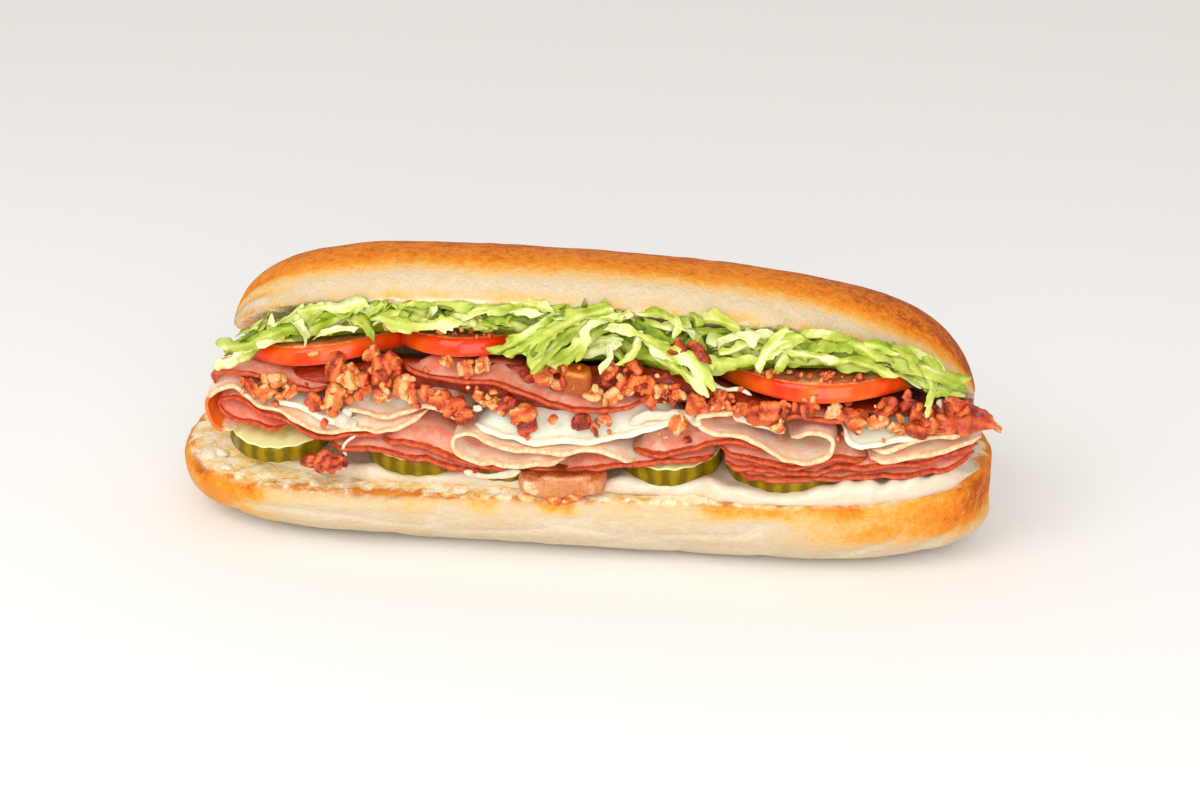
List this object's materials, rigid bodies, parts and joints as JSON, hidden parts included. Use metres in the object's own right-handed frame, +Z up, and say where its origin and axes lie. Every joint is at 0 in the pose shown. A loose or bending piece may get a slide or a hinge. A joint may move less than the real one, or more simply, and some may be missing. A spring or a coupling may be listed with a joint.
{
  "type": "submarine sandwich",
  "caption": "Long soft roll cut and opened along its front, stacked with mayonnaise, pickle chips, folded ham and turkey, cheese, crumbled bacon, tomato and shredded lettuce.",
  "frame": {"origin": "middle of the bounding box's underside, on the surface the roll rests on", "axes": "+X along the roll, +Y from the open front to the uncut back, +Z up"},
  "size_m": [0.2762, 0.0862, 0.0977],
  "materials": {
    "crust": "baked crust, golden on top and pale at the sides, slightly glossy",
    "mayonnaise": "glossy cream",
    "pickle": "wet, crinkle-cut",
    "ham": "moist",
    "turkey": "moist",
    "cheese": "smooth satin",
    "bacon": "fried, oily",
    "tomato": "wet, glossy skin",
    "lettuce": "crisp, slightly glossy"
  },
  "bodies": {
    "root": {"bacon_bits": "bacon", "bacon_chunk": "bacon", "bacon_lump_left": "bacon", "bacon_lump_top": "bacon", "bacon_slab": "bacon", "bacon_strip_end": "bacon", "bread_roll": "crust", "cheese_centre": "cheese", "cheese_left": "cheese", "cheese_right": "cheese", "ham_centre_low": "ham", "ham_centre_top": "ham", "ham_left_fold": "ham", "ham_left_low": "ham", "ham_left_top": "ham", "ham_right_low": "ham", "ham_right_middle": "ham", "ham_right_top": "ham", "ham_upper_centre": "ham", "ham_upper_end": "ham", "ham_upper_left": "ham", "ham_upper_right": "ham", "lettuce": "lettuce", "mayonnaise": "mayonnaise", "pickle_1": "pickle", "pickle_2": "pickle", "pickle_3": "pickle", "pickle_4": "pickle", "pickle_5": "pickle", "tomato_1": "tomato", "tomato_2": "tomato", "tomato_3": "tomato", "turkey_centre": "turkey", "turkey_end_low": "turkey", "turkey_end_top": "turkey", "turkey_left": "turkey", "turkey_left_flap": "turkey", "turkey_right": "turkey"}
  },
  "joints": []
}
